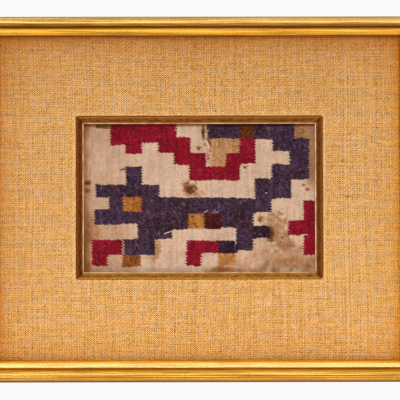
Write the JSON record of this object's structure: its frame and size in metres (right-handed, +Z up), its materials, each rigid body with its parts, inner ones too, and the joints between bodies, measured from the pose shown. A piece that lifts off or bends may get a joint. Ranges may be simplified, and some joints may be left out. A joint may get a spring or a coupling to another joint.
{
  "type": "framed textile in a gilt picture frame",
  "caption": "Small tapestry-woven cloth fragment in the recessed window of a linen-covered mat with a gilt slip, in a narrow reeded gilt frame with a rabbet, for hanging flat on a wall.",
  "frame": {"origin": "middle of the top rail's flat back, where the wall takes the frame", "axes": "+Z up, +X to the viewer's right, +Y into the wall; the cloth faces -Y"},
  "size_m": [0.407, 0.022, 0.337],
  "materials": {
    "rail_gilt": "worn antique gilding over red clay on wood, darker in the grooves",
    "slip_gilt": "dull bronze gilt band with a brighter lip",
    "linen": "coarse open plain weave in tan, with slubs and specks",
    "mat": "plain mat board",
    "cloth": "old wool and cotton tapestry weave in cream, crimson, indigo, gold and brown, stained and worn",
    "backing": "plain brown board"
  },
  "bodies": {
    "root": {"top_rail": "rail_gilt", "bottom_rail": "rail_gilt", "left_rail": "rail_gilt", "right_rail": "rail_gilt", "top_slip": "slip_gilt", "bottom_slip": "slip_gilt", "left_slip": "slip_gilt", "right_slip": "slip_gilt", "mat_board": "mat", "linen_cover": "linen", "textile": "cloth", "backing_board": "backing"}
  },
  "joints": []
}
